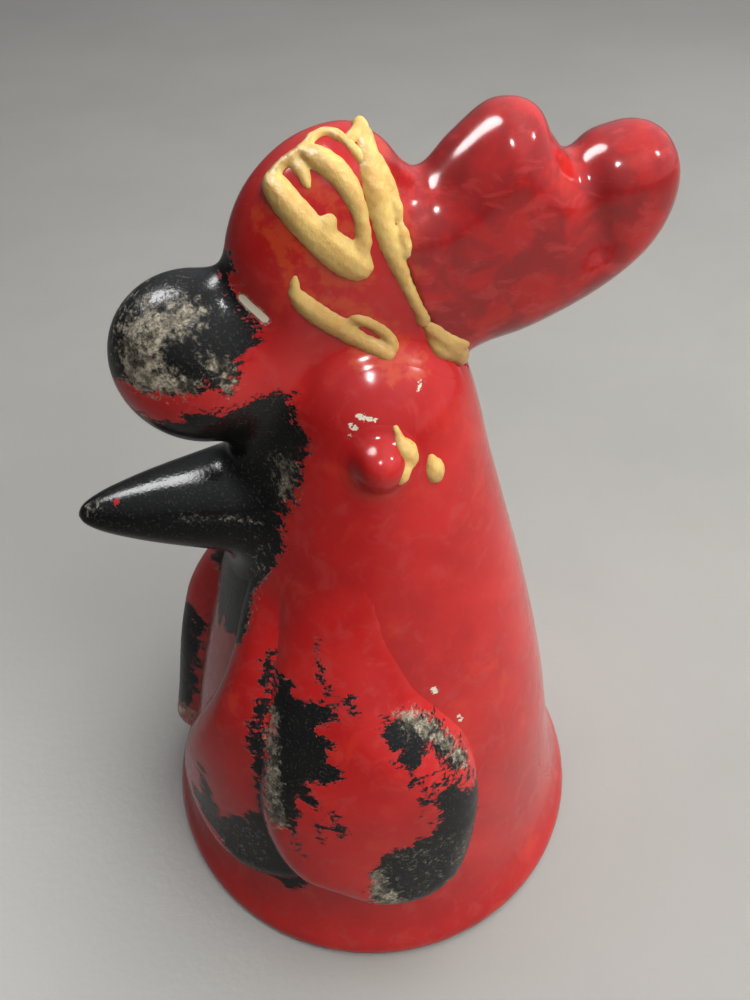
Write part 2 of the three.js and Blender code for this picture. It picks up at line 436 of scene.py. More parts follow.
def casting(p):
    """The whole glazed skin, used to lay the adhesive and the wear on it."""
    skin = side_skin(p)
    for side in (-1, 1):
        skin = np.minimum(skin, side_skin(p) - np.maximum(ear_relief(p, side), 0))
        skin = np.minimum(skin, side_skin(p) - np.maximum(wattle_relief(p, side), 0))
        skin = smooth_min(skin, eye_shape(p, side), EYE_BLEND)
    skin = smooth_min(skin, comb_shape(p), HEAD_BLEND)
    skin = smooth_min(skin, ball_shape(p), BALL_BLEND)
    return smooth_min(skin, beak_shape(p), BEAK_BLEND)


# ---------------------------------------------------------------- meshes
def surface_net(field, low, step):
    """Quads round the zero level of a field that is negative inside."""
    solid = field < 0
    cells = np.array(field.shape) - 1
    total = int(np.prod(cells))
    sums = np.zeros((total, 3))
    count = np.zeros(total)
    faces = []
    for axis in range(3):
        others = [i for i in range(3) if i != axis]
        start = [slice(None)] * 3
        end = [slice(None)] * 3
        start[axis] = slice(0, -1)
        end[axis] = slice(1, None)
        f0, f1 = field[tuple(start)], field[tuple(end)]
        at = np.argwhere(solid[tuple(start)] != solid[tuple(end)])
        v0, v1 = f0[tuple(at.T)], f1[tuple(at.T)]
        cut = at.astype(float)
        cut[:, axis] += v0 / (v0 - v1)
        ring = []
        for du, dv in ((0, 0), (1, 0), (1, 1), (0, 1)):
            cell = at.copy()
            cell[:, others[0]] -= du
            cell[:, others[1]] -= dv
            flat = np.ravel_multi_index(cell.T, cells)
            ring.append(flat)
            count += np.bincount(flat, minlength=total)
            for k in range(3):
                sums[:, k] += np.bincount(flat, weights=cut[:, k], minlength=total)
        quad = np.stack(ring, -1)
        turned = (v0 < 0) == (axis == 1)
        quad[turned] = quad[turned][:, ::-1]
        faces.append(quad)
    used = np.flatnonzero(count)
    number = np.full(total, -1)
    number[used] = np.arange(len(used))
    points = sums[used] / count[used, None] * step + low
    return points, number[np.vstack(faces)]


def gradient(rule, p, step=0.02):
    columns = []
    for axis in range(3):
        shift = np.zeros(3)
        shift[axis] = step
        columns.append(rule(p + shift) - rule(p - shift))
    return np.stack(columns, -1) / (2 * step)


def onto_surface(rule, p, limit, rounds=3):
    """Newton steps onto the zero level, none longer than the limit."""
    for _ in range(rounds):
        g = gradient(rule, p)
        move = -rule(p)[:, None] * g / np.maximum((g * g).sum(-1), 0.2)[:, None]
        size = np.linalg.norm(move, axis=-1, keepdims=True)
        p = p + move * np.minimum(1, limit / np.maximum(size, 1e-9))
    return p


def relaxed(p, quads):
    """Each point half-way to the average of its neighbours."""
    ends = np.vstack([quads[:, [0, 1]], quads[:, [1, 2]], quads[:, [2, 3]], quads[:, [3, 0]]])
    count = np.bincount(ends[:, 0], minlength=len(p)) + np.bincount(ends[:, 1], minlength=len(p))
    middle = np.zeros_like(p)
    for k in range(3):
        middle[:, k] = np.bincount(ends[:, 0], weights=p[ends[:, 1], k], minlength=len(p))
        middle[:, k] += np.bincount(ends[:, 1], weights=p[ends[:, 0], k], minlength=len(p))
    return p + 0.5 * (middle / count[:, None] - p)


def closed_mesh(rule, low, high, step):
    axes = [np.arange(a - 2 * step, b + 3 * step, step) for a, b in zip(low, high)]
    grid = np.stack(np.meshgrid(*axes, indexing="ij"), -1)
    field = np.pad(rule(grid), 1, constant_values=step)
    points, quads = surface_net(field, np.array([a[0] - step for a in axes]), step)
    for _ in range(2):
        points = onto_surface(rule, relaxed(points, quads), 0.5 * step, 1)
    return onto_surface(rule, points, 0.5 * step, 2), quads


# ---------------------------------------------------------------- wear, mm of depth inside a patch
# On the head an outline is (x, z), and on the neck (degrees from the beak, height).
HEAD_BLACK = [
    (-14.6, 91.0), (-13.4, 88.0), (-12.2, 86.8), (-11.0, 84.8), (-11.4, 83.0), (-13.4, 82.0),
    (-13.4, 80.2), (-14.2, 78.9), (-12.6, 78.2), (-10.0, 78.4), (-8.6, 77.0), (-8.2, 75.0),
    (-7.2, 73.4), (-8.4, 71.5), (-9.0, 68.0), (-10.8, 64.0), (-11.2, 61.5), (-13.0, 58.0),
    (-18.0, 50.0), (-40.0, 50.0), (-40.0, 92.0),
]
BALL_RED = [
    (-25.2, 78.6), (-23.0, 79.8), (-19.5, 79.6), (-17.0, 79.7), (-16.0, 80.2), (-15.2, 79.0),
    (-14.0, 79.2), (-12.6, 80.8), (-10.5, 79.4), (-12.5, 78.0), (-14.5, 77.3), (-16.5, 77.6),
    (-18.8, 77.9), (-19.8, 76.7), (-23.5, 76.4),
]
HEAD_CREAM = [
    [
        (-23.0, 85.5), (-21.0, 86.8), (-18.5, 87.3), (-15.6, 87.0), (-15.6, 85.4), (-18.0, 84.8),
        (-19.3, 83.6), (-19.3, 82.2), (-16.8, 81.4), (-17.4, 79.9), (-20.0, 79.3), (-23.2, 80.0),
        (-24.0, 82.5),
    ],
    [
        (-16.5, 83.6), (-15.5, 83.2), (-14.6, 83.0), (-13.4, 82.0), (-13.4, 80.0), (-14.6, 79.4),
        (-15.4, 81.0),
    ],
    [(-10.8, 70.0), (-9.2, 71.2), (-9.2, 68.0), (-10.8, 66.3)],
]
SLIVER = ((-12.0, 87.3), (-10.3, 85.7))
BEAK_DOT = (-28.0, -1.5, 63.2)
BEAK_SCRATCHES = [
    ((-31.3, 61.9), (-31.0, 63.0), 0.5), ((-30.3, 62.3), (-30.0, 63.4), 0.4),
    ((-21.0, 62.6), (-13.0, 62.9), 0.05),
]
FLECKS = [
    ((-2.8, 77.2), 0.12), ((-2.5, 77.15), 0.18), ((-2.2, 77.1), 0.2), ((-1.9, 77.05), 0.17),
    ((-1.6, 77.0), 0.14), ((-1.3, 76.9), 0.1), ((-3.4, 76.4), 0.18), ((-3.2, 76.15), 0.2),
    ((-3.6, 75.4), 0.1), ((3.25, 78.65), 0.1), ((3.35, 78.85), 0.12), ((3.45, 79.05), 0.1),
    ((3.8, 45.3), 0.36), ((4.0, 44.9), 0.28), ((6.9, 40.0), 0.2), ((7.1, 39.4), 0.26),
]
NECK_BLACK = [
    [
        (48, 47.5), (55, 48), (57, 46.5), (62, 46.5), (69, 47), (70, 45.5), (66, 44), (70, 42.5),
        (68, 41), (73, 39.5), (71, 38.5), (64, 37.5), (68, 36), (67, 34.5), (62, 35), (62, 32),
        (57, 29.5), (54, 32.5), (52, 39), (52, 42.5), (49, 44.5),
    ],
    [
        (82, 43.5), (84, 45), (91, 44.5), (98, 43), (104, 40), (107, 37.5), (108, 34.5),
        (102, 37), (98, 39.5), (94, 40.5), (92, 39.5), (87, 40), (87, 41.5),
    ],
    [
        (112, 29), (112, 24), (109, 19.5), (104, 16), (98, 14.2), (88, 14), (82, 17), (80, 21),
        (81, 26), (84, 28), (94, 30.5), (96, 34), (96, 37), (101, 35.5), (106, 34), (110, 32),
    ],
    [(30, 29), (34, 24.5), (38, 18), (34, 16.5), (30, 23)],
    [
        (24, 21), (30, 21.5), (36, 20.5), (43, 24), (50, 28), (54, 26.5), (58, 22), (62, 17),
        (61, 12), (57, 9.5), (50, 10), (43, 11), (39, 14), (34, 16), (28, 17.5),
    ],
    [
        (-14, 63), (38, 63), (37, 59), (34, 56), (30, 53.5), (32, 51.5), (34, 50), (28, 47.2),
        (20, 44.6), (14, 44.6), (9, 47), (-1, 46.5), (-15, 44), (-22, 46),
    ],
    [(44, 49.5), (48, 47.5), (51, 39.5), (52, 33), (51, 28), (48.5, 33.5), (46, 42)],
]
NECK_CREAM = [
    [
        (50, 44), (53, 44), (55.5, 40), (57.5, 36.5), (58.5, 33), (60, 30.5), (56, 29),
        (53, 32.5), (51.5, 37), (50, 40),
    ],
    [(87, 45.5), (93, 44.6), (100, 42), (105, 39), (109, 35), (106, 35.5), (98, 40.5), (90, 43)],
    [(80, 15), (80, 24), (83, 25), (85, 21), (92, 17.5), (100, 16.5), (99, 14.5), (88, 13.6)],
]
NECK_DUST = [
    [(82, 16), (83, 27), (93, 29.5), (101, 29), (107, 25), (103, 19), (93, 15)],
    [(26, 19), (36, 20), (50, 25), (52, 17), (44, 12), (34, 14)],
    [(24, 60), (35, 60), (34, 51), (26, 50)],
]
STROKES = [
    ((60, 32.5), (64, 26.0)), ((67, 33.5), (68.5, 29.5)), ((69.5, 34.5), (73.5, 31.0)),
    ((93, 38.0), (93, 34.5)), ((96, 37.5), (96.5, 33.5)), ((99, 37.0), (99.5, 32.5)),
    ((102, 36.0), (102.5, 32.5)), ((60.5, 53.0), (63.0, 50.2)), ((64.5, 50.0), (66.5, 47.2)),
    ((74, 47.3), (75.5, 46.0)), ((90, 39.5), (90, 37.5)), ((96, 42.0), (101, 40.0)),
]
RIGHT_BLACK = [
    (8, 16), (12, 15), (22, 17), (26, 24), (24, 31), (17, 34.5), (13, 33), (10.5, 29), (9, 24),
]
RIGHT_CREAM = [(7, 10.5), (15, 10.5), (15, 14.8), (7, 14.8)]
STAINS = [
    [(-9.6, 94.8), (-8.2, 91.5), (-7.5, 90.0)],
    [(-9.0, 96.0), (-6.6, 92.4), (-3.6, 89.4), (-1.4, 88.8)],
    [(-6.4, 88.4), (-3.0, 86.6), (0.0, 84.6), (2.0, 82.0)],
    [(-2.0, 81.6), (1.0, 80.4), (4.0, 80.4)],
    [(0.6, 99.2), (1.4, 96.4), (2.6, 92.6), (3.2, 89.6)],
    [(-5.6, 97.4), (-3.6, 95.4), (-2.4, 93.6)],
]
STAIN_REACH = 1.3
FAR = 6.0  # well outside a patch
HEAD_FOOT = 57.0
WEAR_SIDES = ((-1, 0.0), (1, 2.0))  # (side, how much lower its wear lies)
STROKE_HALF = 0.15


def patch_chart(patch):
    return outline_chart(patch, margin=FAR)


head_black_chart = patch_chart(HEAD_BLACK)
ball_red_chart = patch_chart(BALL_RED)
head_cream_charts = [patch_chart(patch) for patch in HEAD_CREAM]
neck_black_charts = [patch_chart(unrolled(patch)) for patch in NECK_BLACK]
neck_cream_charts = [patch_chart(unrolled(patch)) for patch in NECK_CREAM]
neck_dust_charts = [patch_chart(unrolled(patch)) for patch in NECK_DUST]
right_black_chart = patch_chart(unrolled(RIGHT_BLACK))
right_cream_chart = patch_chart(unrolled(RIGHT_CREAM))


def flat_place(p, side=-1):
    """The points unrolled round the neck: (millimetres round it, height)."""
    return azimuth(p, side) * neck_radius(p[..., 2]), p[..., 2]


def black_depth(p):
    """Where the red glaze is gone. The head's patch is on both sides, the rest is on the left
    and, as a guess, a shade lower on the right."""
    x, z = p[..., 0], p[..., 2]
    head = np.minimum(-head_black_chart(x, z), ball_red_chart(x, z) - 0.2)
    best = np.where(z > HEAD_FOOT, head, -FAR)
    for side, drop in WEAR_SIDES:
        on_side = side * p[..., 1] > -4.0
        u, v = flat_place(p + np.array([0, 0, drop]), side)
        for chart in neck_black_charts:
            best = np.maximum(best, np.where(on_side, -chart(u, v), -FAR))
        for stroke in STROKES:
            gap = distance_to(u, v, np.array(unrolled(stroke)), False)
            best = np.maximum(best, np.where(on_side, STROKE_HALF - gap, -FAR))
    far_wattle = np.where(p[..., 1] > 1.0, -right_black_chart(*flat_place(p, 1)), -FAR)
    return np.maximum(best, far_wattle)


def cream_depth(p):
    """Where the black under the red is gone too and the clay shows. On the dusty areas it only
    gets near zero, so that no more than specks of clay show."""
    x, z = p[..., 0], p[..., 2]
    best = np.full(p.shape[:-1], -FAR)
    for chart in head_cream_charts:
        best = np.maximum(best, np.minimum(-chart(x, z), 1.6))
    on_left = p[..., 1] < 0.0
    sliver = 8 * (0.62 - distance_to(x, z, np.array(SLIVER), False))
    best = np.maximum(best, np.where(on_left, sliver, -FAR))
    best = np.where(z > HEAD_FOOT, best, -FAR)
    for start, end, strength in BEAK_SCRATCHES:
        scratch = strength - 1.5 * distance_to(x, z, np.array((start, end)), False)
        best = np.maximum(best, np.where(on_left, scratch, -FAR))
    for side, drop in WEAR_SIDES:
        on_side = side * p[..., 1] > -4.0
        u, v = flat_place(p + np.array([0, 0, drop]), side)
        for chart in neck_cream_charts:
            best = np.maximum(best, np.where(on_side, np.minimum(-2 * chart(u, v), 1.2), -FAR))
        for chart in neck_dust_charts:
            dust = np.minimum(-chart(u, v) - 0.6, -0.35)
            best = np.maximum(best, np.where(on_side, dust, -FAR))
    far_wattle = np.where(p[..., 1] > 1.0, -right_cream_chart(*flat_place(p, 1)), -FAR)
    return np.maximum(best, far_wattle)


def stain_depth(p):
    """Where thin adhesive has tinted the red glaze round its beads, on the left flank."""
    gap = np.full(p.shape[:-1], 9.0)
    for line in STAINS:
        gap = np.minimum(gap, distance_to(p[..., 0], p[..., 2], np.array(line), False))
    return np.where(p[..., 1] < 0.0, STAIN_REACH - gap, -FAR)


WEAR = {"black_depth": black_depth, "cream_depth": cream_depth, "stain_depth": stain_depth}


# ---------------------------------------------------------------- adhesive, on the left flank
LUMP_HEIGHT = 0.05
NICK_HEIGHT = 0.03
BEAD_SINK = 0.65
BEAD_GROWTH = 1.08


def on_flank(x, z, side=-1, sink=0.0):
    """The point of the casting's flank at (x, z), sunk by a little."""
    y = np.linspace(0.0, 30.0, 601)
    p = np.stack([np.full(601, x), side * y, np.full(601, z)], -1)
    outside = np.flatnonzero(casting(p) > 0)
    return (x, side * (y[outside[0]] - sink), z)


def beads(p, chains, blend=0.5):
    """Rounded strings of adhesive: each chain is a list of (point, radius)."""
    best = np.full(p.shape[:-1], 9.0)
    for chain in chains:
        for (a, ra), (b, rb) in zip(chain[:-1], chain[1:]):
            best = smooth_min(best, capsule(p, a, b, ra, rb), blend)
    lumps = np.sin(2.3 * p[..., 0] + 1.1) * np.sin(1.9 * p[..., 2]) * np.sin(1.7 * p[..., 1] + 0.4)
    nicks = np.sin(4.7 * p[..., 0] + 2.0) * np.sin(5.3 * p[..., 2] + 0.7)
    return best + LUMP_HEIGHT * lumps + NICK_HEIGHT * nicks


def chain(points, side=-1):
    """A smooth string through points of (x, z, radius), half sunk in the casting's flank."""
    curve = smooth_curve(points, False, 3)
    return [(on_flank(x, z, side, BEAD_SINK * r), BEAD_GROWTH * r) for x, z, r in curve]


GLUE = {
    "glue_seam_left": [
        [
            (-0.8, 100.3, 0.42), (-0.7, 99.5, 0.62), (-0.7, 98.6, 0.72),
            (-0.7, 97.6, 0.84), (-0.5, 96.5, 0.94), (-0.2, 95.3, 0.92), (0.2, 93.7, 0.84),
            (0.8, 92.0, 0.78), (1.6, 90.0, 0.62), (2.6, 87.6, 0.48), (3.6, 85.3, 0.46),
            (4.3, 83.8, 0.56),
        ],
        [(-2.4, 99.7, 0.26), (-1.6, 100.0, 0.34), (-0.8, 100.1, 0.38)],
        [(0.2, 98.4, 0.3), (0.8, 97.0, 0.38), (1.2, 95.6, 0.42), (1.6, 94.2, 0.4)],
        [(1.7, 93.6, 0.26), (2.1, 92.4, 0.34), (2.3, 91.2, 0.3)],
    ],
    "glue_loop": [
        [
            (-8.4, 96.9, 0.85), (-7.6, 96.0, 1.1), (-6.5, 94.8, 1.22), (-5.3, 93.5, 1.3),
            (-4.0, 92.2, 1.5), (-2.7, 91.1, 1.55), (-1.8, 90.4, 1.15),
        ],
        [(-4.9, 93.8, 0.8), (-4.2, 94.8, 0.5)],
        [
            (-5.7, 99.1, 0.5), (-4.8, 98.8, 0.74), (-4.0, 98.4, 0.84), (-3.2, 97.8, 0.84),
            (-2.5, 96.9, 0.78), (-2.0, 95.8, 0.6), (-1.7, 94.6, 0.5), (-1.5, 93.2, 0.55),
            (-1.7, 92.0, 0.7),
        ],
        [(-8.2, 97.5, 0.4), (-7.4, 98.2, 0.34), (-6.5, 98.7, 0.34), (-5.6, 99.2, 0.34)],
        [
            (-5.4, 99.5, 0.26), (-4.5, 99.9, 0.28), (-3.4, 100.1, 0.3), (-2.4, 99.8, 0.28),
            (-1.6, 99.1, 0.28), (-1.1, 98.4, 0.28),
        ],
        [(-6.8, 98.5, 0.3), (-6.1, 98.0, 0.34), (-5.7, 97.2, 0.2)],
    ],
    "glue_lower_bead": [
        [
            (-7.6, 88.6, 0.5), (-6.6, 87.2, 0.88), (-5.2, 85.8, 0.98), (-3.8, 84.6, 0.98),
            (-2.4, 83.3, 0.86), (-0.9, 82.1, 0.74), (0.7, 81.2, 0.6),
        ],
        [(-2.6, 85.4, 0.42), (-1.4, 84.9, 0.4), (-0.2, 84.0, 0.42), (0.8, 82.9, 0.44), (1.2, 81.7, 0.5)],
        [(-7.6, 88.6, 0.34), (-7.4, 90.0, 0.2)],
    ],
    "glue_heel": [
        [(4.6, 83.4, 0.5), (5.6, 82.3, 0.75), (6.8, 81.0, 0.95), (7.8, 79.7, 0.95), (8.5, 78.4, 0.6)],
        [(5.0, 81.8, 0.3), (5.6, 80.8, 0.45), (6.8, 79.9, 0.7)],
        [(7.2, 81.4, 0.5), (8.5, 80.8, 0.42)],
    ],
    "glue_drop_eye": [
        [(0.6, 76.2, 0.16), (0.9, 75.2, 0.24), (1.2, 74.3, 0.6), (1.5, 73.6, 0.92), (1.7, 72.8, 0.8)],
        [(1.4, 72.7, 0.36), (1.0, 72.1, 0.34), (0.7, 71.6, 0.3)],
    ],
    "glue_drop_cheek": [
        [(4.0, 72.6, 0.12), (4.2, 71.6, 0.5), (4.4, 70.8, 0.85), (4.5, 70.1, 0.8)],
    ],
}
SEAM_RIGHT = [
    (-0.4, 98.8, 0.6), (0.2, 95.4, 0.85), (1.8, 90.4, 0.7), (3.6, 86.4, 0.6), (5.2, 82.9, 0.8),
    (7.4, 80.0, 0.9),
]


# ---------------------------------------------------------------- material helpers
def new_tree(name):
    material = bpy.data.materials.new(name)
    material.use_nodes = True
    tree = material.node_tree
    tree.nodes.clear()
    return material, tree


def put(tree, kind, settings=None, **inputs):
    """Adds a node. An input is a value or another node's output; _ in its name stands for a space."""
    node = tree.nodes.new(kind)
    for key, value in (settings or {}).items():
        setattr(node, key, value)
    for key, value in inputs.items():
        by_number = key[0] == "i" and key[1:].isdigit()
        socket = node.inputs[int(key[1:]) if by_number else key.replace("_", " ")]
        if isinstance(value, bpy.types.NodeSocket):
            tree.links.new(value, socket)
        else:
            socket.default_value = value
    return node


def millimetres(tree, stretch=(1.0, 1.0, 1.0)):
    """Object coordinates in millimetres, stretched."""
    place = put(tree, "ShaderNodeTexCoord")
    scale = tuple(s / MM for s in stretch)
    mapping = put(tree, "ShaderNodeMapping", Vector=place.outputs["Object"], Scale=scale)
    return mapping.outputs["Vector"]


def noise(tree, place, scale, detail=3.0, rough=0.55, warp=0.0):
    made = put(
        tree, "ShaderNodeTexNoise", Vector=place, Scale=scale, Detail=detail, Roughness=rough,
        Distortion=warp,
    )
    return made.outputs["Fac"]


def sum_of(tree, a, b, operation="ADD"):
    return put(tree, "ShaderNodeMath", {"operation": operation}, i0=a, i1=b).outputs[0]


def remap(tree, value, low, high, to_low=0.0, to_high=1.0):
    made = put(
        tree, "ShaderNodeMapRange", {"interpolation_type": "SMOOTHSTEP"}, Value=value,
        From_Min=low, From_Max=high, To_Min=to_low, To_Max=to_high,
    )
    return made.outputs["Result"]


def blend_colour(tree, factor, a, b):
    made = put(tree, "ShaderNodeMix", {"data_type": "RGBA"}, i0=factor, i6=a, i7=b)
    return made.outputs[2]


def colour(r, g, b):
    return (r, g, b, 1.0)


RED_LIT = colour(0.56, 0.014, 0.012)
RED_DEEP = colour(0.42, 0.008, 0.008)
RED_ORANGE = colour(0.62, 0.032, 0.014)
RED_BLOOM = colour(0.52, 0.040, 0.036)
RED_DULL = colour(0.25, 0.011, 0.012)
STAINED = colour(0.62, 0.085, 0.018)
BLACK = colour(0.006, 0.006, 0.006)
BLACK_WORN = colour(0.035, 0.032, 0.027)
CREAM = colour(0.56, 0.49, 0.36)
CREAM_DIRTY = colour(0.17, 0.145, 0.10)
CREAM_BARE = colour(0.80, 0.70, 0.54)
GLUE_YELLOW = colour(0.76, 0.52, 0.17)
GLUE_AMBER = colour(0.66, 0.40, 0.12)
GLUE_PALE = colour(0.82, 0.64, 0.28)
GLUE_BROWN = colour(0.44, 0.24, 0.075)
TABLE_PALE = colour(0.34, 0.325, 0.30)
TABLE_GREY = colour(0.31, 0.30, 0.275)
DOT_RADIUS = 0.36  # millimetres


def edge_noise(tree, place):
    """Ragged noise in millimetres, drawn out sideways, that breaks up a worn patch's edge."""
    flat = millimetres(tree, (0.75, 0.75, 1.5))
    coarse = noise(tree, flat, 0.62, 6.0, 0.72, 0.2)
    fine = noise(tree, place, 2.6, 4.0, 0.65)
    return sum_of(tree, centred(tree, coarse, 0.5, 5.6), centred(tree, fine, 0.5, 2.2))


def spot(tree, place, wobble, centre, radius):
    """1 within the radius of a point of the skin, 0 outside. The wobble makes its edge uneven."""
    middle = tuple(np.array(centre) + np.array(AXIS) / MM)
    gap = put(tree, "ShaderNodeVectorMath", {"operation": "DISTANCE"}, i0=place, i1=middle)
    gap = sum_of(tree, gap.outputs["Value"], wobble)
    return remap(tree, gap, radius, radius + 0.14, 1.0, 0.0)


def value_of(tree, name):
    return put(tree, "ShaderNodeAttribute", {"attribute_name": name}).outputs["Fac"]


def centred(tree, value, middle, gain):
    return sum_of(tree, sum_of(tree, value, middle, "SUBTRACT"), gain, "MULTIPLY")


def red_paint(tree, place, streaks):
    """Clouded red, tinted by thin adhesive, and with dull and pale veils where it has streaks."""
    cloud = noise(tree, place, 0.09, 4.0, 0.6)
    red = blend_colour(tree, remap(tree, cloud, 0.3, 0.7), RED_LIT, RED_DEEP)
    blush = noise(tree, place, 0.22, 3.0, 0.5, 0.5)
    red = blend_colour(tree, remap(tree, blush, 0.56, 0.74, 0.0, 0.6), red, RED_ORANGE)
    bloom = noise(tree, place, 0.35, 5.0, 0.65, 0.8)
    red = blend_colour(tree, remap(tree, bloom, 0.50, 0.68, 0.0, 0.5), red, RED_BLOOM)
    thin = centred(tree, noise(tree, place, 0.9, 4.0, 0.6), 0.5, 5.0)
    stained = sum_of(tree, value_of(tree, "stain_depth"), thin)
    red = blend_colour(tree, remap(tree, stained, 0.2, 1.3, 0.0, 0.5), red, STAINED)
    if not streaks:
        return red
    patchy = noise(tree, place, 0.26, 4.0, 0.62, 0.35)
    dull = remap(tree, patchy, 0.38, 0.60, 0.15, 1.3 * streaks)
    red = blend_colour(tree, dull, red, RED_DULL)
    veil = noise(tree, millimetres(tree, (0.7, 0.8, 1.3)), 0.55, 4.0, 0.6, 0.5)
    return blend_colour(tree, remap(tree, veil, 0.52, 0.68, 0.0, streaks), red, RED_BLOOM)


def worn_clay(tree, place, cream, bare):
    """How much clay shows: broken and powdery in the worn patches, clean in the bare chips."""
    patchy = centred(tree, noise(tree, place, 1.5, 6.0, 0.72, 0.4), 0.53, 7.0)
    worn = remap(tree, sum_of(tree, cream, patchy), -0.5, 0.9)
    powder = remap(tree, noise(tree, place, 4.5, 2.0, 0.5), 0.36, 0.60, 0.45, 1.0)
    thin = remap(tree, noise(tree, place, 0.75, 4.0, 0.6), 0.38, 0.58, 0.25, 1.0)
    worn = sum_of(tree, worn, sum_of(tree, powder, thin, "MULTIPLY"), "MULTIPLY")
    return sum_of(tree, worn, bare, "MAXIMUM")


def clay_paint(tree, place, bare):
    dirt = remap(tree, noise(tree, place, 1.1, 4.0, 0.65), 0.35, 0.65)
    clean = sum_of(tree, 1.0, bare, "SUBTRACT")
    dirt = sum_of(tree, dirt, clean, "MULTIPLY")
    clay = blend_colour(tree, dirt, CREAM, CREAM_DIRTY)
    return blend_colour(tree, bare, clay, CREAM_BARE)


def glaze_roughness(tree, place, is_black, is_cream, black_rough):
    smear = noise(tree, place, 0.35, 3.0, 0.5)
    rough = remap(tree, smear, 0.3, 0.7, 0.12, 0.20)
    rough = sum_of(tree, rough, remap(tree, is_black, 0.0, 1.0, 0.0, black_rough))
    return sum_of(tree, rough, remap(tree, is_cream, 0.0, 1.0, 0.0, 0.35))


def glaze_height(tree, place, dust, is_black, is_cream):
    """Millimetres of relief: ripples in the glaze, steps down to the black and to the clay."""
    ripple = noise(tree, place, 0.28, 2.0, 0.4)
    height = remap(tree, ripple, 0.0, 1.0, 0.0, 0.05)
    height = sum_of(tree, height, remap(tree, is_black, 0.0, 1.0, 0.0, -0.05))
    height = sum_of(tree, height, remap(tree, is_cream, 0.0, 1.0, 0.0, -0.06))
    grit = sum_of(tree, dust, sum_of(tree, is_black, 0.03, "MULTIPLY"), "MULTIPLY")
    return sum_of(tree, height, grit)


def glaze(name, streaks=0.0, black_rough=0.12, dot=None, flecks=()):
    """Glossy red glaze, worn to black and then to clay where the mesh's wear values say so. The
    dot is one speck where the red shows through the black, and the flecks are small chips."""
    material, tree = new_tree(name)
    place = millimetres(tree)
    wobble = sum_of(tree, noise(tree, place, 3.4, 2.0, 0.5), 0.5, "SUBTRACT")
    black_edge = sum_of(tree, value_of(tree, "black_depth"), edge_noise(tree, place))
    is_black = remap(tree, black_edge, -0.18, 0.18)
    if dot:
        clear = sum_of(tree, 1.0, spot(tree, place, wobble, dot, DOT_RADIUS), "SUBTRACT")
        is_black = sum_of(tree, is_black, clear, "MULTIPLY")
    dust = noise(tree, place, 3.2, 2.0, 0.5)
    dark = blend_colour(tree, remap(tree, dust, 0.54, 0.72, 0.0, 0.9), BLACK, BLACK_WORN)
    paint = blend_colour(tree, is_black, red_paint(tree, place, streaks), dark)

    cream = value_of(tree, "cream_depth")
    bare = remap(tree, cream, 1.7, 2.1)
    for (x, z), radius in flecks:
        chip = spot(tree, place, wobble, on_flank(x, z), radius)
        bare = sum_of(tree, bare, chip, "MAXIMUM")
    is_cream = worn_clay(tree, place, cream, bare)
    paint = blend_colour(tree, is_cream, paint, clay_paint(tree, place, bare))

    height = glaze_height(tree, place, dust, is_black, is_cream)
    bump = put(tree, "ShaderNodeBump", Height=height, Distance=MM, Strength=0.9)
    shader = put(
        tree, "ShaderNodeBsdfPrincipled", Base_Color=paint, IOR=1.52,
        Roughness=glaze_roughness(tree, place, is_black, is_cream, black_rough),
        Specular_IOR_Level=remap(tree, is_black, 0.0, 1.0, 0.5, 0.32),
        Normal=bump.outputs["Normal"],
    )
    put(tree, "ShaderNodeOutputMaterial", Surface=shader.outputs["BSDF"])
    return material


def adhesive(name):
    """Dried yellow glue, browner between the foot of the head and the middle of the comb."""
    material, tree = new_tree(name)
    place = millimetres(tree)
    cloud = noise(tree, place, 0.45, 4.0, 0.6, 0.3)
    body = blend_colour(tree, remap(tree, cloud, 0.38, 0.66), GLUE_YELLOW, GLUE_AMBER)
    speck = noise(tree, place, 2.2, 3.0, 0.6)
    body = blend_colour(tree, remap(tree, speck, 0.55, 0.75, 0.0, 0.6), body, GLUE_PALE)
    height = put(tree, "ShaderNodeSeparateXYZ", Vector=place).outputs["Z"]
    under = remap(tree, height, 84.0, 92.0, 0.55, 0.0)
    aged = sum_of(tree, under, remap(tree, height, 77.0, 79.0), "MULTIPLY")
    body = blend_colour(tree, aged, body, GLUE_BROWN)
    rough = remap(tree, speck, 0.3, 0.7, 0.28, 0.45)
    bump = put(tree, "ShaderNodeBump", Height=speck, Distance=0.12 * MM, Strength=0.8)
    shader = put(
        tree, "ShaderNodeBsdfPrincipled", Base_Color=body, Roughness=rough,
        Normal=bump.outputs["Normal"], IOR=1.48, Subsurface_Weight=0.35, Subsurface_Scale=0.0012,
    )
    put(tree, "ShaderNodeOutputMaterial", Surface=shader.outputs["BSDF"])
    return material


def table_top():
    """Pale grey table. Its mirror image in the glaze is dimmer on the left, as if a dark thing
    stood there."""
    material, tree = new_tree("pale_table")
    place = millimetres(tree)
    cloud = noise(tree, place, 0.012, 4.0, 0.6)
    tone = blend_colour(tree, remap(tree, cloud, 0.3, 0.7), TABLE_PALE, TABLE_GREY)
    mirrored = put(tree, "ShaderNodeLightPath").outputs["Is Glossy Ray"]
    across = put(tree, "ShaderNodeSeparateXYZ", Vector=place).outputs["X"]
    shade = sum_of(tree, mirrored, remap(tree, across, -60.0, 40.0, 0.7, 0.05), "MULTIPLY")
    tone = blend_colour(tree, shade, tone, colour(0.0, 0.0, 0.0))
    fine = noise(tree, place, 0.7, 3.0, 0.6)
    bump = put(tree, "ShaderNodeBump", Height=fine, Distance=0.1 * MM, Strength=0.4)
    shader = put(
        tree, "ShaderNodeBsdfPrincipled", Base_Color=tone, Roughness=0.5,
        Normal=bump.outputs["Normal"],
    )
    put(tree, "ShaderNodeOutputMaterial", Surface=shader.outputs["BSDF"])
    return material


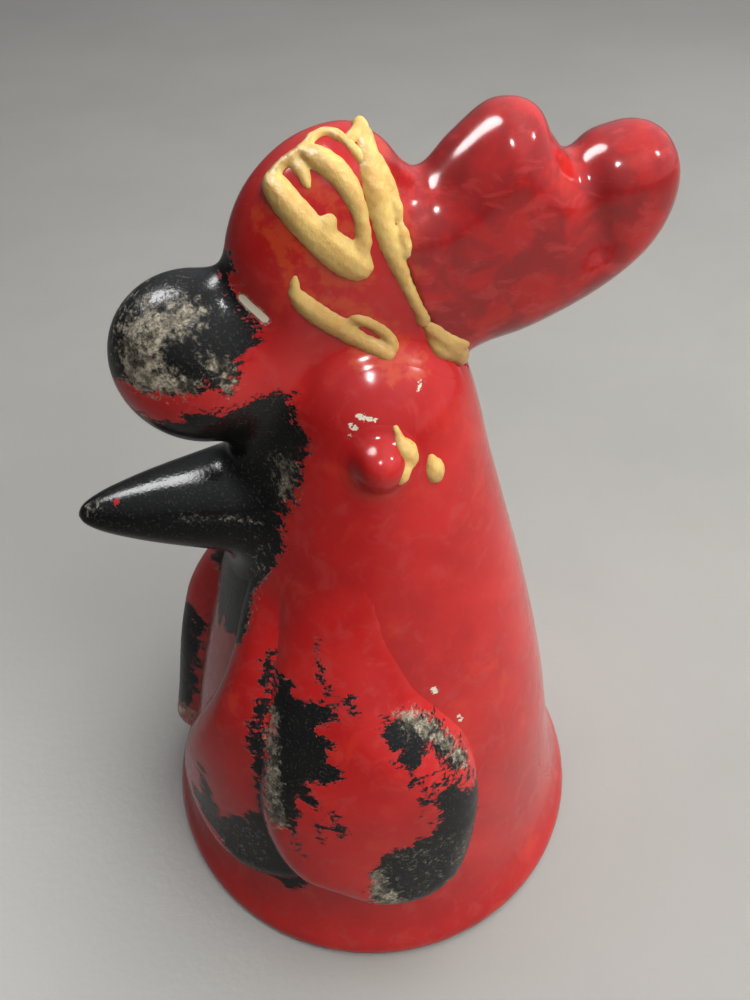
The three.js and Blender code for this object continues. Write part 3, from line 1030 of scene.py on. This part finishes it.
# ---------------------------------------------------------------- pieces
neck_low, neck_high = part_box("neck_body")
AXIS = Vector(((neck_low.x + neck_high.x) / 2, (neck_low.y + neck_high.y) / 2, 0.0))


def into_frame(points):
    return points * MM + np.array(AXIS)


def add_mesh(name, points, quads):
    mesh = bpy.data.meshes.new(name)
    mesh.from_pydata(into_frame(points).tolist(), [], quads.tolist())
    mesh.polygons.foreach_set("use_smooth", [True] * len(mesh.polygons))
    mesh.update()
    obj = bpy.data.objects.new(name, mesh)
    bpy.context.scene.collection.objects.link(obj)
    return obj


def add_wear(obj, points):
    for name, rule in WEAR.items():
        values = obj.data.attributes.new(name, "FLOAT", "POINT")
        values.data.foreach_set("value", rule(points).astype(np.float32))


def cad_box_mm(node):
    low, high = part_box(node)
    return (np.array(low) - np.array(AXIS)) / MM, (np.array(high) - np.array(AXIS)) / MM


def finish_piece(obj, node, material):
    obj.data.materials.append(material)
    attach(obj, "root")
    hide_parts(node)


def add_ceramic(name, node, rule, step, material, margin):
    """A piece of the casting, meshed within a margin of the box of the node that it replaces."""
    low, high = cad_box_mm(node)
    points, quads = closed_mesh(rule, low - margin, high + margin, step)
    obj = add_mesh(name, points, quads)
    add_wear(obj, points)
    finish_piece(obj, node, material)
    return obj


def add_glue(name, chains, material, step=0.2):
    """Beads of adhesive as one piece that replaces the node of the same name."""
    ends = np.array([point for one in chains for point, _ in one])
    radii = max(r for one in chains for _, r in one)
    rule = lambda p: beads(p, chains)
    points, quads = closed_mesh(rule, ends.min(0) - radii - 1, ends.max(0) + radii + 1, step)
    obj = add_mesh(name, points, quads)
    finish_piece(obj, name, material)
    return obj


red_glaze = glaze("worn_red_glaze", flecks=FLECKS)
comb_glaze = glaze("mottled_red_glaze", 0.6)
black_glaze = glaze("worn_black_glaze", 0.0, 0.03, BEAK_DOT)
glue = adhesive("yellow_adhesive")

add_ceramic("neck_casting", "neck_body", neck, 0.5, red_glaze, 3.0)
for side, word in ((-1, "left"), (1, "right")):
    add_ceramic("ear_lobe_relief_" + word, "ear_lobe_" + word, ear_lobe(side), 0.4, red_glaze, 9.0)
    add_ceramic("wattle_relief_" + word, "wattle_" + word, wattle(side), 0.4, red_glaze, 9.0)
    add_ceramic("eye_bump_" + word, "eye_" + word, eye(side), 0.2, red_glaze, 4.0)
add_ceramic("beak_cone", "beak", beak, 0.3, black_glaze, 8.0)
add_ceramic("comb_ball", "comb_front_lobe", front_lobe, 0.3, black_glaze, 7.0)
add_ceramic("comb_second_lobe", "comb_middle_lobe", middle_lobe, 0.35, red_glaze, 12.0)
add_ceramic("comb_fragment", "comb_rear_fragment", fragment, 0.35, comb_glaze, 9.0)
for name, lines in GLUE.items():
    add_glue(name, [chain(line) for line in lines], glue)
add_glue("glue_seam_right", [chain(SEAM_RIGHT, 1)], glue)
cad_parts["glue_film"].data.materials.clear()
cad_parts["glue_film"].data.materials.append(glue)


# ---------------------------------------------------------------- floor, light, camera
def add_floor():
    size = 3.0
    steps = 12
    line = np.linspace(-size, size, steps + 1)
    points = [(x, y, 0.0) for y in line for x in line]
    width = steps + 1
    quads = [
        (i + j * width, i + 1 + j * width, i + 1 + (j + 1) * width, i + (j + 1) * width)
        for j in range(steps)
        for i in range(steps)
    ]
    mesh = bpy.data.meshes.new("table")
    mesh.from_pydata(points, [], quads)
    floor = bpy.data.objects.new("table", mesh)
    bpy.context.scene.collection.objects.link(floor)
    mesh.materials.append(table_top())


AIM = Vector((0, 0, 0.06))


def add_light(name, azimuth_deg, elevation_deg, distance, width, length, power, lights=True, shines=True):
    """A soft box that looks at the head. Azimuth 0 is +X and 90 is +Y. It can leave out either
    the light that it casts or its own reflection in the glaze."""
    a, e = math.radians(azimuth_deg), math.radians(elevation_deg)
    way = Vector((math.cos(a) * math.cos(e), math.sin(a) * math.cos(e), math.sin(e)))
    data = bpy.data.lights.new(name, "AREA")
    data.shape = "ELLIPSE"
    data.size = width
    data.size_y = length
    data.energy = power
    light = bpy.data.objects.new(name, data)
    light.location = AIM + way * distance
    light.rotation_mode = "QUATERNION"
    light.rotation_quaternion = way.to_track_quat("Z", "Y")
    light.visible_diffuse = lights
    light.visible_glossy = shines
    bpy.context.scene.collection.objects.link(light)


def add_world():
    """A dim room with a paler ceiling above and behind. Its reflection in the glaze is brighter
    towards +X, where the windows would be."""
    world = bpy.data.worlds.new("studio")
    world.use_nodes = True
    tree = world.node_tree
    way = put(tree, "ShaderNodeTexCoord").outputs["Generated"]
    rise = put(
        tree, "ShaderNodeVectorMath", {"operation": "DOT_PRODUCT"}, i0=way, i1=(0.25, 0.35, 0.9),
    ).outputs["Value"]
    mirrored = put(tree, "ShaderNodeLightPath").outputs["Is Glossy Ray"]
    side = put(
        tree, "ShaderNodeVectorMath", {"operation": "DOT_PRODUCT"}, i0=way, i1=(0.5, -0.1, 0.85),
    ).outputs["Value"]
    seen = sum_of(tree, mirrored, remap(tree, side, -0.4, 0.8, 0.07, 0.78), "MULTIPLY")
    cast = remap(tree, rise, 0.25, 0.95, 0.03, 0.45)
    strength = sum_of(tree, cast, seen, "MAXIMUM")
    background = tree.nodes["Background"]
    tree.links.new(strength, background.inputs["Strength"])
    background.inputs["Color"].default_value = (0.92, 0.95, 1.0, 1.0)
    bpy.context.scene.world = world


CAMERA_PLACE = (-12.1, -71.2, 126.0)
CAMERA_PITCH = math.radians(43.5)
CAMERA_TURN = math.radians(10.0)
CAMERA_LENS = 30.6


def add_camera():
    data = bpy.data.cameras.new("camera")
    data.lens = CAMERA_LENS
    data.sensor_width = 36.0
    data.clip_start = 0.005
    camera = bpy.data.objects.new("camera", data)
    camera.location = Vector(CAMERA_PLACE) * MM + AXIS
    flat = Vector((math.sin(CAMERA_TURN), math.cos(CAMERA_TURN), 0.0)) * math.cos(CAMERA_PITCH)
    ahead = flat + Vector((0.0, 0.0, -math.sin(CAMERA_PITCH)))
    camera.rotation_mode = "QUATERNION"
    camera.rotation_quaternion = ahead.to_track_quat("-Z", "Y")
    bpy.context.scene.collection.objects.link(camera)
    bpy.context.scene.camera = camera


add_floor()
add_world()
add_light("lamp_front", -99, 54, 1.0, 0.11, 0.11, 2.6, lights=False)
add_light("lamp_back", 152, 56, 0.7, 0.26, 0.50, 6.4, lights=False)
add_light("lamp_side", -18, 42, 0.9, 0.06, 0.12, 1.2, lights=False)
add_light("key", -52, 48, 0.36, 0.24, 0.24, 1.08, shines=False)
add_light("overhead", 22, 60, 0.5, 0.45, 0.45, 2.45, shines=False)
add_light("window_right", -4, 24, 0.9, 0.8, 0.6, 0.7, shines=False)
bpy.context.scene.view_settings.view_transform = "Standard"
add_camera()
